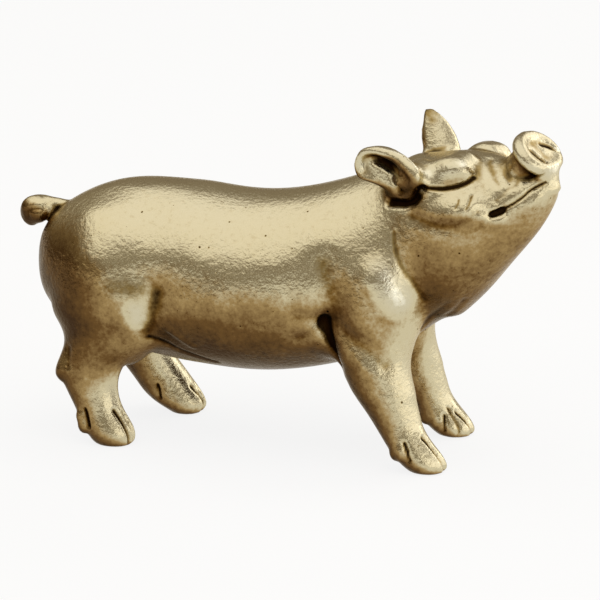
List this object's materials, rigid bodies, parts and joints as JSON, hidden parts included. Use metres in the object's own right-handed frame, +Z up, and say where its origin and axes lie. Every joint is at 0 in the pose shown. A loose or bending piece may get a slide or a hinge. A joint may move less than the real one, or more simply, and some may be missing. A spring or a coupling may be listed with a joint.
{
  "type": "pig figurine",
  "caption": "Standing pig ornament in solid cast brass, with a raised snout, closed smiling eyes, cupped ears, a curled tail and cloven feet.",
  "frame": {"origin": "centre of the bounding box at the soles of the feet", "axes": "+X from tail to snout, +Z up, the pig's left side towards +Y"},
  "size_m": [0.0906, 0.0292, 0.0547],
  "materials": {
    "cast_brass": "burnished on top, dark patina in the hollows"
  },
  "bodies": {
    "root": {"body": "cast_brass", "head": "cast_brass", "right_ear": "cast_brass", "left_ear": "cast_brass", "tail": "cast_brass", "front_right_leg": "cast_brass", "front_left_leg": "cast_brass", "hind_right_leg": "cast_brass", "hind_left_leg": "cast_brass"}
  },
  "joints": []
}
